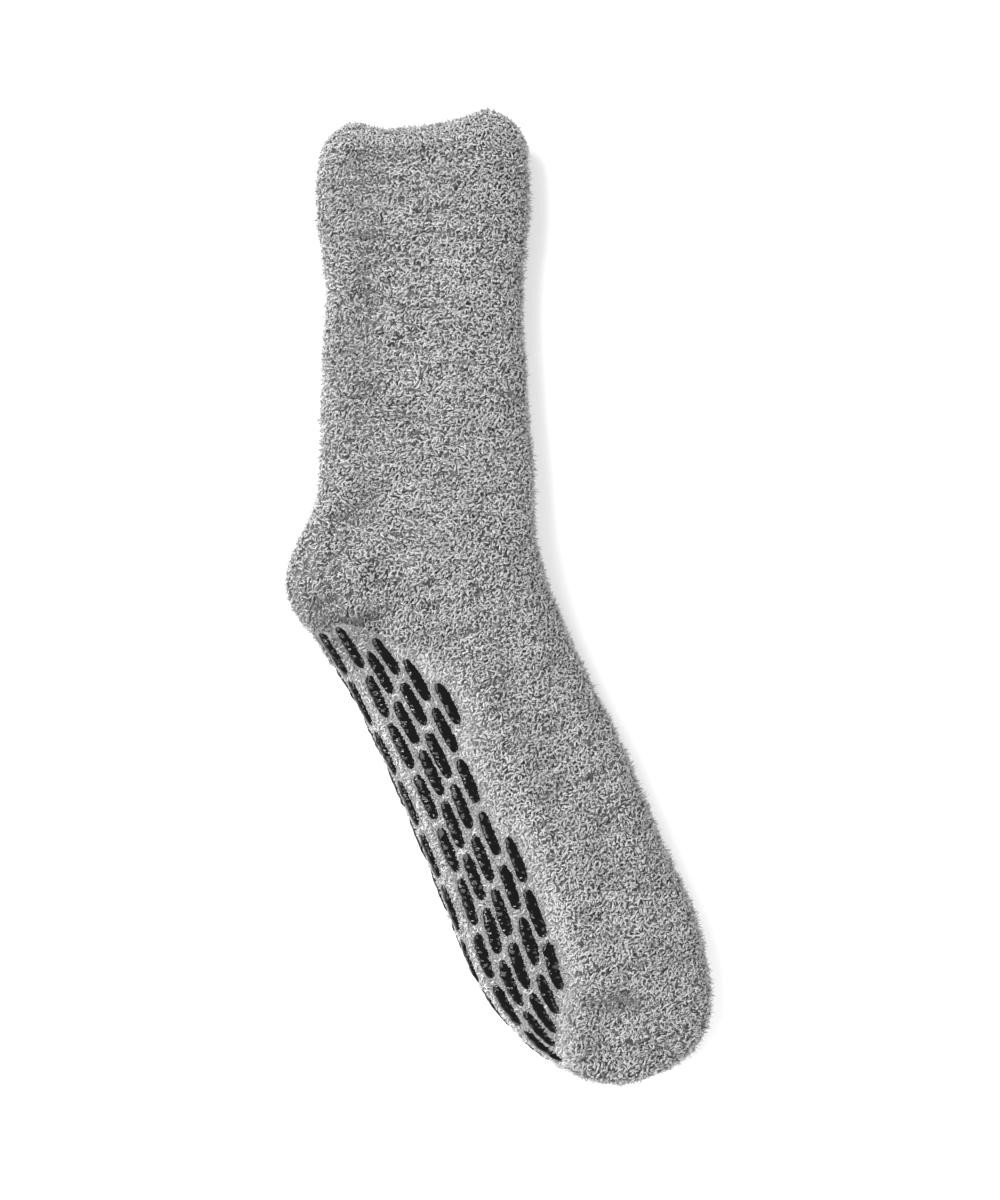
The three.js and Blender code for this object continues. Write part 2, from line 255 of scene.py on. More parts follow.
def make_piece(name, points, faces, tones, material, slot, replaces=()):
    """A piece from its points in millimetres, its faces, which all have the same number of corners, and
    its tones, one to a point, or None."""
    mesh = bpy.data.meshes.new(name)
    mesh.vertices.add(len(points))
    mesh.vertices.foreach_set("co", ((points - MIDDLE) * MM).astype(np.float32).ravel())
    mesh.loops.add(faces.size)
    mesh.loops.foreach_set("vertex_index", faces.astype(np.int32).ravel())
    mesh.polygons.add(len(faces))
    mesh.polygons.foreach_set("loop_start", np.arange(0, faces.size, faces.shape[1], dtype=np.int32))
    mesh.update(calc_edges=True)
    mesh.shade_smooth()
    if tones is not None:
        attribute = mesh.attributes.new("tone", "FLOAT", "POINT")
        attribute.data.foreach_set("value", tones.astype(np.float32))
    mesh.materials.append(material)
    obj = bpy.data.objects.new(name, mesh)
    bpy.context.scene.collection.objects.link(obj)
    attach(obj, "root")
    if replaces:
        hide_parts(*replaces)
    return obj


# The upper's surface


def smooth(places, values):
    """One smooth curve through values at places: cubic pieces whose slope at each place is that of the
    line between its neighbours."""
    places, values = np.array(places, float), np.array(values, float)
    last = len(places) - 1
    after = np.minimum(np.arange(last + 1) + 1, last)
    before = np.maximum(np.arange(last + 1) - 1, 0)
    slopes = (values[after] - values[before]) / (places[after] - places[before])

    def curve(place):
        p = np.clip(place, places[0], places[-1])
        i = np.clip(np.searchsorted(places, p, side="right") - 1, 0, last - 1)
        width = places[i + 1] - places[i]
        t = (p - places[i]) / width
        stay = (1 + 2 * t) * (1 - t) ** 2
        leave = t * (1 - t) ** 2 * width * slopes[i]
        arrive = t**2 * (1 - t) * width * slopes[i + 1]
        return stay * values[i] + (1 - stay) * values[i + 1] + leave - arrive

    return curve


def smoothstep(value, low, high):
    """0 below low, 1 above high, and an even S between them."""
    t = np.clip((value - low) / (high - low), 0, 1)
    return t * t * (3 - 2 * t)


TANGENT = BEND_RADIUS * math.tan(FOOT_TURN / 2)
BEND_START = LEG_LENGTH - TANGENT
BEND_END = BEND_START + BEND_RADIUS * FOOT_TURN
CROSSING = (BEND_START + BEND_END) / 2
TOE_END = BEND_END + FOOT_REACH - TANGENT
TOE_START = TOE_END - TOE_LENGTH
TOE_WAY = TOE_LENGTH * math.pi / 2  # the toe's own stretch of the way down the sock
SKIN_END = TOE_START + 0.9995 * TOE_WAY

section_places = [row[0] * CROSSING for row in LEG_SECTIONS]
section_places += [CROSSING + row[0] * (TOE_END - CROSSING) for row in FOOT_SECTIONS]


def section_curve(column, leg_size, foot_size):
    """A column of the section tables as a curve in millimetres over places on the axis."""
    values = [row[column] * leg_size for row in LEG_SECTIONS]
    return smooth(section_places, values + [row[column] * foot_size for row in FOOT_SECTIONS])


back_reach = section_curve(1, LEG_WIDTH, FOOT_WIDTH)
front_reach = section_curve(2, LEG_WIDTH, FOOT_WIDTH)
loft_at = section_curve(3, LEG_LOFT, FOOT_LOFT)
rim_rise = smooth([row[0] for row in COLLAR_RIM], [row[1] * COLLAR_EAR for row in COLLAR_RIM])


def axis_at(place):
    """The axis runs straight down the leg, round the bend and straight along the foot. Gives its point
    and the direction across it towards the instep."""
    angle = np.clip((place - BEND_START) / BEND_RADIUS, 0, FOOT_TURN)
    across = np.stack([np.cos(angle), np.sin(angle)], -1)
    along = np.stack([np.sin(angle), -np.cos(angle)], -1)
    straight = np.where(place < BEND_START, place - BEND_START, np.maximum(place - BEND_END, 0))
    point = np.array([BEND_RADIUS, TANGENT]) - BEND_RADIUS * across + along * straight[..., None]
    return point, across


def toe_share(place, inset, power):
    """How much of its width a section keeps on the way to the tip: (1 - x^power)^(1/power)."""
    x = np.clip((place - TOE_START) / (TOE_LENGTH - inset), 0, 1)
    return (1 - x**power) ** (1 / power)


def surface(place, turn, inset):
    """A superellipse round the axis: reach times |cos|^(2/n) to the side and half the height times
    |sin|^(2/n) up or down, flattened by the floor, and lifted along the leg with the rim's waves."""
    place, turn, inset = np.broadcast_arrays(np.asarray(place, float), turn, inset)
    fade = np.maximum(1 - place / COLLAR_BLEND, 0) ** 2
    point, across = axis_at(place - rim_rise(np.degrees(turn) % 360) * fade)
    c, h = np.cos(turn), np.sin(turn)
    side = np.where(c > 0, back_reach(place), front_reach(place))
    power = np.where(c > 0, TOE_BACK_ROUND, TOE_FRONT_ROUND)
    reach = (side - inset) * toe_share(place, inset, power) * np.abs(c) ** (2 / ROUNDNESS)
    half = (loft_at(place) + SETTLE) / 2
    rise = (half - inset) * toe_share(place, inset, TOE_LOFT_ROUND) * np.abs(h) ** (2 / ROUNDNESS)
    lean = TOE_LEAN * smoothstep(place, TOE_START, TOE_END)
    flat = point + across * (lean - np.sign(c) * reach)[..., None]
    height = np.maximum(half - SETTLE + np.sign(h) * rise, inset)
    return np.concatenate([flat, height[..., None]], -1)


def place_of(way, inset=0.0):
    """The place on the axis at a way down the sock: the same as far as the toe, then the toe's length
    times the sine of an even angle, so that steps stay even over its round end."""
    angle = np.clip((way - TOE_START) / TOE_WAY, 0, 1) * math.pi / 2
    return np.where(way < TOE_START, way, TOE_START + (TOE_LENGTH - inset) * np.sin(angle))


def way_of(place):
    """The way down the sock at a place on the axis."""
    x = np.clip((place - TOE_START) / TOE_LENGTH, 0, 1)
    return np.where(place < TOE_START, place, TOE_START + TOE_WAY * np.arcsin(x) * 2 / math.pi)


# Tables that turn even shares of the way round a section into angles round it.
table_ways = np.linspace(0, SKIN_END, 320)
table_shares = np.linspace(-1, 1, 181)
turns = np.linspace(-math.pi, math.pi, 361)
outline = surface(place_of(table_ways)[:, None], turns[None, :], 0.0)
steps = np.linalg.norm(np.diff(outline, axis=1), axis=2)
gone = np.concatenate([np.zeros((len(table_ways), 1)), np.cumsum(steps, axis=1)], axis=1)
gone -= gone[:, 180:181]
half_girths = np.stack([-gone[:, 0], gone[:, -1]], 1)
evened = gone / np.where(gone < 0, half_girths[:, :1], half_girths[:, 1:])
turn_table = np.stack([np.interp(table_shares, row, turns) for row in evened])


def turn_of(way, share):
    """The angle round the section at a share of the half girth, between the table's rows and columns."""
    row = np.clip(way / table_ways[-1], 0, 0.99999) * (len(table_ways) - 1)
    column = np.clip((share + 1) / 2, 0, 0.99999) * (len(table_shares) - 1)
    i, j = row.astype(int), column.astype(int)
    a, b = row - i, column - j
    low = turn_table[i, j] * (1 - b) + turn_table[i, j + 1] * b
    high = turn_table[i + 1, j] * (1 - b) + turn_table[i + 1, j + 1] * b
    return low * (1 - a) + high * a


def girth_of(way, share):
    """Half the girth on the side where the share lies, over the top or underneath."""
    under = np.interp(way, table_ways, half_girths[:, 0])
    over = np.interp(way, table_ways, half_girths[:, 1])
    return np.where(share < 0, under, over)


def wrapped(share):
    """A share round the section brought back between -1 and 1."""
    return (share + 1) % 2 - 1


middle_box = outline.reshape(-1, 3)
MIDDLE = np.append((middle_box.min(0) + middle_box.max(0))[:2] / 2, 0)


# The grip tread's own coordinates

sole_places = np.linspace(CROSSING, TOE_END - 0.3, 400)
sole_share = SOLE_ROLL / girth_of(way_of(sole_places), np.ones_like(sole_places))
sole_line = surface(sole_places, turn_of(way_of(sole_places), sole_share), 0.0)
sole_gone = np.append(0, np.cumsum(np.linalg.norm(np.diff(sole_line, axis=0), axis=1)))
TREAD_ORIGIN = np.interp(CROSSING + TREAD_START, sole_places, sole_gone)
TREAD_LENGTH = sole_gone[-1] - TREAD_TOE_GAP - TREAD_ORIGIN


def ground_half(along):
    """Half the width of the pressed ground, in straight lines between the rows of its outline."""
    rows = np.array(TREAD_OUTLINE)
    share = along / TREAD_LENGTH
    half = np.interp(share, rows[:, 0], rows[:, 1]) * TREAD_HALF_WIDTH
    return np.where((share < rows[0, 0]) | (share > rows[-1, 0]), 0, half)


print_roll = smooth([row[0] * TREAD_LENGTH for row in PRINT_ROLL], [row[1] for row in PRINT_ROLL])
print_spread = smooth([row[0] * TREAD_LENGTH for row in PRINT_SPREAD], [row[1] for row in PRINT_SPREAD])


def narrowing(place):
    """How far the toe's outline has drawn in from the foot's straight side."""
    return back_reach(place) * (1 - toe_share(place, 0.0, TOE_BACK_ROUND))


def tread_point(along, across, inset):
    """A point on the tread: along the sole's middle line, across it round the sole, and below the pile.
    Towards the tip the columns keep straighter than the toe's outline."""
    place = np.interp(TREAD_ORIGIN + along, sole_gone, sole_places)
    gathered = (1 - print_spread(along)) * np.maximum(across - FIRST_COLUMN, 0)
    arc = print_roll(along) + across - gathered
    arc = arc - narrowing(place) * smoothstep(arc, 0, PRINT_DRAW)
    way = way_of(place)
    return surface(place, turn_of(way, arc / girth_of(way, arc)), inset)


def tread_place(way, share):
    """The way along and across the tread of a point of the skin: the reverse of tread_point, found in
    five rounds."""
    place = place_of(way)
    along = np.interp(place, sole_places, sole_gone, left=-100.0) - TREAD_ORIGIN
    seen = share * girth_of(way, share)
    arc = seen
    for _ in range(5):
        arc = seen + narrowing(place) * smoothstep(arc, 0, PRINT_DRAW)
    across = arc - print_roll(along)
    return along, across + (1 / print_spread(along) - 1) * np.maximum(across - FIRST_COLUMN, 0)


def inside_tread(way, share):
    """How far inside the pressed ground's outline a point lies, in millimetres; negative outside it."""
    along, across = tread_place(way, share)
    ends = np.minimum(along - TREAD_OUTLINE[0][0] * TREAD_LENGTH, TREAD_LENGTH - along)
    return np.minimum(ground_half(along) - np.abs(across), ends)


def stroke_places():
    """Where the strokes lie: every place of the mirrored columns whose whole stroke the ground holds."""
    found = []
    for column, stagger in STROKE_COLUMNS:
        across = column * COLUMN_PITCH
        along = np.arange(stagger * ROW_PITCH, TREAD_LENGTH, ROW_PITCH)
        held = np.minimum(ground_half(along - STROKE_LENGTH / 2), ground_half(along + STROKE_LENGTH / 2))
        along = along[held >= across + STROKE_WIDTH / 2 + STROKE_MARGIN]
        found += [(a + PRINT_SHIFT, side * across) for a in along for side in (1, -1)]
    return np.array(found)


STROKES = stroke_places()


def from_strokes(along, across):
    """How far places on the tread lie from the nearest stroke, in millimetres; negative on a stroke."""
    off_along = np.abs(along[:, None] - STROKES[None, :, 0]) - STROKE_LENGTH / 2
    off_across = np.abs(across[:, None] - STROKES[None, :, 1]) - STROKE_WIDTH / 2
    apart = np.hypot(np.maximum(off_along, 0), np.maximum(off_across, 0))
    return (apart + np.minimum(np.maximum(off_along, off_across), 0)).min(1)


# The skin: the surface with its folds, over the rim and down inside the collar


def waves(points, size, seed, count=24):
    """Smooth random relief of about unit height: the sum of sine waves of one length, each in its own
    random direction and with its own phase."""
    rng = np.random.default_rng(seed)
    directions = rng.normal(size=(3, count))
    directions *= 2 * math.pi / size / np.linalg.norm(directions, axis=0)
    phases = rng.uniform(0, 2 * math.pi, count)
    return np.sin(points @ directions + phases).sum(-1) * math.sqrt(2 / count)


def opened(share):
    """1 at the two folded edges, where the knit bends and its pile opens out, and 0 a little way off."""
    return np.exp(-((np.minimum(np.abs(share), 1 - np.abs(share)) / 0.07) ** 2))


def stitch_rows(way, share):
    """Waves of about unit height that follow the rows of stitches: six times as long round the sock as
    down it."""
    round_it = share * girth_of(way, share) / 6
    return waves(np.stack([way + 0 * share, round_it, 0 * round_it], -1), 3.7, 14)


def relief(way, share, points):
    """Height of the slack knit over the outline: slow waves, the clumps of its pile, the rows of its
    stitches with the cracks that open between some of them, and the creases. It dies out towards the
    tread's ground, which is flat."""
    rows = stitch_rows(way, share)
    lines = (0.16 * rows - 0.45 * smoothstep(-rows, 0.9, 2.2)) * (1 - opened(share))
    height = 0.35 * waves(points, 46, 11) + 0.14 * waves(points, 17, 12) + 0.09 * waves(points, 7.5, 13)
    on_ground = smoothstep(inside_tread(outside(way), share), -8, 0.5)
    return (height + lines + folds(way, share)) * (1 - on_ground)


def folds(way, share, table=CREASES):
    """Height of the creases: each is a bell across its line that fades at its ends."""
    height = 0 * way * share
    for crease in table:
        round_it = (share - crease["share"]) * girth_of(way, share)
        down_it = way - crease["way"]
        lean = math.radians(crease["lean"])
        along = round_it * math.cos(lean) + down_it * math.sin(lean)
        off = down_it * math.cos(lean) - round_it * math.sin(lean)
        fade = np.exp(-((along / crease["run"]) ** 4))
        height = height + crease["depth"] * np.exp(-((off / crease["width"]) ** 2)) * fade
    return height


def smoothness(points, way, share):
    """How smoothly the pile lies, from 0 where it is ruffled to 1 where it is brushed flat, and how far it
    counts as lying beside the tread, where it is flat too but for the heel end."""
    along, across = tread_place(outside(way), share)
    beside = smoothstep(12 - from_strokes(along, across), 0, 10) * smoothstep(along, 4, 26)
    patches = np.clip(0.38 + 0.32 * waves(points, 27, 51) + 0.22 * waves(points, 11, 52), 0, 1)
    patches = np.clip(patches * 0.8 + folds(way, share, BRUSHED), 0, 1)
    return np.maximum(patches, beside) * (1 - opened(share)), beside


def unit(vectors):
    """The vectors brought to a length of one."""
    return vectors / np.maximum(np.linalg.norm(vectors, axis=-1, keepdims=True), 1e-9)


def profile(way, outer, inner):
    """Way and depth over the rim: the way itself outside, half a turn between the two depths where it is
    negative, and back down inside beyond that."""
    radius = (inner - outer) / 2
    angle = np.clip(-way / radius, 0, math.pi)
    beyond = np.maximum(-way - math.pi * radius, 0)
    down = RIM_PLACE + np.maximum(way, 0) + beyond - radius * np.sin(angle)
    return down, outer + radius * (1 - np.cos(angle))


def outside(way):
    """The way down the outline at a way down the skin, which starts behind the turn of the rim."""
    return RIM_PLACE + np.maximum(way, 0)


def skin_base(way, share, outer, inner):
    """The skin before its folds, as deep as outer outside and as inner inside. Over the toe its places
    draw back by up to that depth, so that it closes at its own tip."""
    down, inset = profile(way, outer, inner)
    down = np.minimum(down, SKIN_END)
    place = np.where(down < TOE_START, down, place_of(down) - inset * (down - TOE_START) / TOE_WAY)
    return surface(place, turn_of(np.maximum(down, 0), wrapped(share)), inset)


# Half steps over which slopes of the skin are taken: down the sock, and round it as a share.
WAY_STEP = 0.5
SHARE_STEP = 0.004


def differences(function, way, share):
    """The normal of a surface given by a function of way and share, and its direction down the sock."""
    along = unit(function(way + WAY_STEP, share) - function(way - WAY_STEP, share))
    around = function(way, share + SHARE_STEP) - function(way, share - SHARE_STEP)
    return unit(np.cross(along, around)), along


def skin_point(way, share, outer=SKIN_DEPTH, inner=INNER_DEPTH):
    """The skin with its folds raised along its normal."""
    way, share = np.broadcast_arrays(np.asarray(way, float), share)

    def bare(w, s):
        return skin_base(w, s, outer, inner)

    point = bare(way, share)
    normal, _ = differences(bare, way, share)
    height = relief(way, wrapped(share), point) * smoothstep(way, -2, 6)
    return point + normal * height[..., None]


def skin(way, share):
    """Root points on the skin, with its outward normal and its direction down the sock."""

    def at_root(w, s):
        return skin_point(w, s, ROOT_DEPTH, INNER_DEPTH)

    normal, along = differences(at_root, way, share)
    return at_root(way, share), normal, along


def off_floor(points):
    """Points kept above the floor: heights under half a millimetre are eased towards it."""
    rest = 0.5
    z = points[..., 2]
    eased = rest * np.exp(np.minimum(z - rest, 0) / rest)
    points[..., 2] = np.where(z < rest, eased, z)
    return points


def ring_faces(rings, count, loop=False):
    """Quads between rings of points, and strips across the first and last ring unless it is a loop."""
    low = (np.arange(rings if loop else rings - 1) * count)[:, None]
    high = (low + count) % (rings * count)
    k = np.arange(count)[None, :]
    after = (k + 1) % count
    quads = np.stack([low + k, low + after, high + after, high + k], -1).reshape(-1, 4)
    if loop:
        return quads
    k = np.arange(count // 2 - 1)
    far = count - 1 - k
    first = np.stack([k, far, far - 1, k + 1], -1)
    last = np.stack([k, k + 1, far - 1, far], -1) + (rings - 1) * count
    return np.concatenate([quads, first, last])


# Materials


def add_node(tree, kind, settings=None, **links):
    """Adds one node. settings go to its properties, links to its inputs by name: a number, a colour or
    another node's output socket. Underscores in names stand for spaces."""
    node = tree.nodes.new(kind)
    for name, value in (settings or {}).items():
        setattr(node, name, value)
    for name, value in links.items():
        key = int(name[1:]) if name[0] == "i" and name[1:].isdigit() else name.replace("_", " ")
        if isinstance(value, bpy.types.NodeSocket):
            tree.links.new(value, node.inputs[key])
        else:
            node.inputs[key].default_value = value
    return node


def new_material(name):
    """A new material, with its node tree and its main shader."""
    material = bpy.data.materials.new(name)
    material.use_nodes = True
    tree = material.node_tree
    shader = next(node for node in tree.nodes if node.type == "BSDF_PRINCIPLED")
    return material, tree, shader


def wave_scale(size_mm):
    """Noise scale whose features measure size_mm, on coordinates in metres."""
    return 1 / (size_mm * MM)


def chenille_yarn(name, dark, light):
    """Brushed polyester chenille: matt, with a faint sheen from the fine ends of its fibres. Its colour
    follows each point's tone, which carries painted shade: dark at the locks' roots and between them, pale
    at their tips."""
    material, tree, shader = new_material(name)
    place = add_node(tree, "ShaderNodeTexCoord").outputs["Object"]
    tone = add_node(tree, "ShaderNodeAttribute", {"attribute_name": "tone"}).outputs["Fac"]
    patches = add_node(tree, "ShaderNodeTexNoise", Vector=place, Scale=wave_scale(16), Detail=1.0)
    fibre = add_node(tree, "ShaderNodeTexNoise", Vector=place, Scale=wave_scale(0.5), Detail=2.0)
    spread = add_node(tree, "ShaderNodeMath", {"operation": "MULTIPLY_ADD"},
                      i0=patches.outputs["Fac"], i1=0.16, i2=-0.08)
    toned = add_node(tree, "ShaderNodeMath", {"operation": "ADD", "use_clamp": True},
                     i0=tone, i1=spread.outputs[0])
    colour = add_node(tree, "ShaderNodeMix", {"data_type": "RGBA"}, i0=toned.outputs[0],
                      i6=linear(dark), i7=linear(light))
    bump = add_node(tree, "ShaderNodeBump", Height=fibre.outputs["Fac"], Strength=0.5, Distance=0.15 * MM)
    tree.links.new(colour.outputs[2], shader.inputs["Base Color"])
    tree.links.new(bump.outputs["Normal"], shader.inputs["Normal"])
    shader.inputs["Roughness"].default_value = 0.95
    shader.inputs["Specular IOR Level"].default_value = 0.2
    shader.inputs["Sheen Weight"].default_value = 0.3
    shader.inputs["Sheen Roughness"].default_value = 0.5
    return material


def pressed_knit(name, dark, light):
    """The same yarn, pressed flat and sized for printing: paler, with small dark gaps between stitches."""
    material, tree, shader = new_material(name)
    place = add_node(tree, "ShaderNodeTexCoord").outputs["Object"]
    fibre = add_node(tree, "ShaderNodeTexNoise", Vector=place, Scale=wave_scale(1.1), Detail=3.0,
                     Roughness=0.6)
    gaps = add_node(tree, "ShaderNodeMapRange", Value=fibre.outputs["Fac"])
    gaps.inputs["From Min"].default_value = 0.38
    gaps.inputs["From Max"].default_value = 0.55
    colour = add_node(tree, "ShaderNodeMix", {"data_type": "RGBA"}, i0=gaps.outputs[0],
                      i6=linear(dark), i7=linear(light))
    bump = add_node(tree, "ShaderNodeBump", Height=fibre.outputs["Fac"], Strength=0.8, Distance=0.5 * MM)
    tree.links.new(colour.outputs[2], shader.inputs["Base Color"])
    tree.links.new(bump.outputs["Normal"], shader.inputs["Normal"])
    shader.inputs["Roughness"].default_value = 0.9
    shader.inputs["Specular IOR Level"].default_value = 0.25
    return material


def printed_silicone(name):
    """Screen-printed silicone rubber: black and glossy. Its skin dips over the rows of stitches under it,
    so the dips are drawn out across the strokes and catch the light in short lines."""
    material, tree, shader = new_material(name)
    place = add_node(tree, "ShaderNodeTexCoord").outputs["Object"]
    turned = add_node(tree, "ShaderNodeMapping", Vector=place, Rotation=(0, 0, -FOOT_TURN),
                      Scale=(0.45, 1, 0.45))
    dips = add_node(tree, "ShaderNodeTexNoise", Vector=turned.outputs[0], Scale=wave_scale(2.4), Detail=1.0,
                    Roughness=0.4)
    bump = add_node(tree, "ShaderNodeBump", Height=dips.outputs["Fac"], Strength=1.0, Distance=1.1 * MM)
    tree.links.new(bump.outputs["Normal"], shader.inputs["Normal"])
    shader.inputs["Base Color"].default_value = linear("#060505")
    shader.inputs["Roughness"].default_value = 0.07
    shader.inputs["IOR"].default_value = 1.41
    shader.inputs["Specular IOR Level"].default_value = 0.26
    return material


plush = chenille_yarn("brushed_polyester_chenille", "#2b2b2b", "#bbbbbb")
# The knit's backing is coloured darker than the yarn's own grey: painted shade in the gaps of the pile.
shaded_backing = chenille_yarn("knitted_backing_in_painted_shade", "#202020", "#5c5c5c")
pressed = pressed_knit("pressed_chenille_ground", "#525252", "#7a7a7a")
silicone = printed_silicone("printed_silicone_rubber")

# The knit under the pile

AROUND = 176  # points round the knit
OUTSIDE_RINGS = 216
INSIDE_RINGS = 24
RIM_RINGS = 5


def knit_shell():
    """A hollow shell: the skin carried from the toe up to the rim, over it and down inside to the toe.
    Outside, fine waves raise it between the locks."""
    outer = np.linspace(SKIN_END - RIM_PLACE, 0, OUTSIDE_RINGS)
    radius = (WALL - SKIN_DEPTH) / 2
    rim = -np.linspace(0, math.pi * radius, RIM_RINGS + 1)[1:]
    inner = rim[-1] - np.linspace(0, SKIN_END - RIM_PLACE, INSIDE_RINGS)[1:]
    way = np.concatenate([outer, rim, inner])[:, None]
    share = (np.arange(AROUND) * 2 / AROUND - 1)[None, :]
    points = skin_point(way, share, SKIN_DEPTH, WALL)
    flat = points.reshape(-1, 3)

    def bare(w, s):
        return skin_base(w, s, SKIN_DEPTH, WALL)

    ways, shares = np.broadcast_arrays(way, share)
    normal, _ = differences(bare, ways, shares)
    fine = 0.22 * waves(flat, 3.4, 21) + 0.16 * waves(flat, 2.2, 22)
    pressed_here = smoothstep(inside_tread(outside(way), share), -1, 1) * (way > 0)
    lift = fine * (ways > 0).ravel() - SUNK_DEPTH * pressed_here.ravel()
    flat = flat + normal.reshape(-1, 3) * lift[:, None]
    _, beside = smoothness(flat, ways.ravel(), shares.ravel())
    # The backing's darkness is painted shade between the locks. Beside the tread, where the locks lie flat,
    # it is paler.
    tones = 0.35 + 0.3 * waves(flat, 2.6, 23) + 0.8 * beside
    return off_floor(flat), ring_faces(len(way), AROUND), tones


make_piece("knit_upper_backing", *knit_shell(), shaded_backing, "plush_knit", ["knit_upper"])


def welt_band():
    """The turned hem: a closed band between two depths inside the collar, half round at its fold."""
    outer, inner = WALL + GAP, WALL + GAP + WELT_THICKNESS - WELT_PILE
    count, rows = 160, 14
    radius = (inner - outer) / 2
    down = np.linspace(WELT_DEPTH, RIM_PLACE, rows)
    angles = np.linspace(0, math.pi, 5)[1:-1]
    places = np.concatenate([down, RIM_PLACE - radius * np.sin(angles), down[::-1]])
    over_fold = outer + radius * (1 - np.cos(angles))
    depths = np.concatenate([np.full(rows, outer), over_fold, np.full(rows, inner)])
    share = np.arange(count) * 2 / count - 1
    ways, shares = np.broadcast_arrays(np.maximum(places, 0)[:, None], share[None, :])
    points = surface(places[:, None], turn_of(ways, shares), depths[:, None]).reshape(-1, 3)
    tones = 0.4 + 0.3 * waves(points, 2.6, 24)
    return points, ring_faces(len(places), count, loop=True), tones


make_piece("collar_welt_backing", *welt_band(), shaded_backing, "plush_knit", ["collar_welt"])

# The pile

LOCK_STATIONS = np.array([0.0, 0.3, 0.72, 1.0])
TUFT_STATIONS = np.array([0.0, 0.5, 1.0])
GRAIN_CORNERS = np.radians([90.0, 210.0, 330.0])


def grains(root, normal, along, heading, length, width, arch, stand, curl, stations):
    """Closed curved grains, each of two tips with rings of three points between them. At a share t of its
    length the middle line lies length (t - 1/2) ahead of the root, curl 4 t (1 - t) aside, and
    arch sin(pi t) plus stand t^1.6 above it. A ring keeps (4 t (1 - t))^0.3 of the width."""
    aside = unit(np.cross(normal, along))
    ahead = along * np.cos(heading)[:, None] + aside * np.sin(heading)[:, None]
    side = np.cross(normal, ahead)
    t = stations[None, :, None]
    line = (
        root[:, None]
        + ahead[:, None] * (length[:, None, None] * (t - 0.5))
        + side[:, None] * (curl[:, None, None] * 4 * t * (1 - t))
        + normal[:, None] * (arch[:, None, None] * np.sin(math.pi * t) + stand[:, None, None] * t**1.6)
    )
    middle = stations[1:-1]
    radius = width[:, None] / 2 * (4 * middle * (1 - middle))[None, :] ** 0.3
    sideways = np.cos(GRAIN_CORNERS)[None, :, None] * side[:, None]
    corners = sideways + np.sin(GRAIN_CORNERS)[None, :, None] * normal[:, None]
    rings = line[:, 1:-1, None] + radius[:, :, None, None] * corners[:, None]
    count, ring_count = len(root), len(middle)
    points = np.concatenate([line[:, :1], rings.reshape(count, 3 * ring_count, 3), line[:, -1:]], 1)
    k = np.arange(3)
    after = (k + 1) % 3
    shape = [np.stack([0 * k, 1 + after, 1 + k], -1)]
    for ring in range(ring_count - 1):
        low = 1 + 3 * ring
        shape.append(np.stack([low + k, low + after, low + 3 + after], -1))
        shape.append(np.stack([low + k, low + 3 + after, low + 3 + k], -1))
    last = 1 + 3 * (ring_count - 1)
    shape.append(np.stack([last + k, last + after, last + 3 + 0 * k], -1))
    offsets = np.arange(count)[:, None, None] * (3 * ring_count + 2)
    faces = (offsets + np.concatenate(shape)[None]).reshape(-1, 3)
    return points.reshape(-1, 3), faces


def grain_tones_and_root_shade(own, root_shade_swing, stations):
    """Tone over each grain: its own tone with painted shade, darker at its root and paler at its tip by
    half the swing, for the shade that falls among the locks, on a curve that levels off towards the palest."""
    t = np.concatenate([[0], np.repeat(stations[1:-1], 3), [1]])
    tones = np.clip(own[:, None] + root_shade_swing[:, None] * (t[None, :] - 0.5), 0, 1).ravel()
    return tones * (1.4 - 0.4 * tones)


def strewn(low, high, pitch, rng):
    """Ways and shares of roots strewn evenly between two ways: a jittered lattice over the skin's own
    coordinates, thinned where the skin narrows."""
    rows, columns = int((high - low) / pitch), int(STREWN_GIRTH / pitch)
    way = low + (np.arange(rows)[:, None] + rng.uniform(0, 1, (rows, columns))) * (high - low) / rows
    column = np.arange(columns)[None, :] + rng.uniform(0, 1, (rows, columns))
    way, share = way.ravel(), (column / columns * 2 - 1).ravel()

    def bare(w, s):
        return skin_base(w, s, ROOT_DEPTH, INNER_DEPTH)

    down = (bare(way + WAY_STEP, share) - bare(way - WAY_STEP, share)) / (2 * WAY_STEP)
    around = (bare(way, share + SHARE_STEP) - bare(way, share - SHARE_STEP)) / (2 * SHARE_STEP)
    area = np.linalg.norm(np.cross(down, around), axis=1)
    keep = rng.uniform(0, 1, len(way)) < area / (STREWN_GIRTH / 2)
    return way[keep], share[keep]


def kept(way, share, rng, under_keep, inside_keep):
    """Thins the locks on the underside's flat middle and deep inside the collar, and fades them out
    towards the strokes of the tread."""
    under = (np.abs(share + 0.5) < UNDERSIDE) & (way > 9)
    wanted = np.where(under, under_keep, np.where(way < -16, inside_keep, 1.0))
    away = from_strokes(*tread_place(outside(way), share))
    keep = (away > rng.uniform(0.5, 2.4, len(way))) & (rng.uniform(0, 1, len(way)) < wanted)
    return way[keep], share[keep]


def rooted(way, share):
    """Roots of locks with their normals and ways down the sock: on the skin, or on the ground of the
    tread where that covers it."""
    root, normal, along = skin(way, share)
    inside = np.where(way > 0, inside_tread(outside(way), share), -50)
    return root + normal * (0.5 * smoothstep(inside, -1, 2))[:, None], normal, along


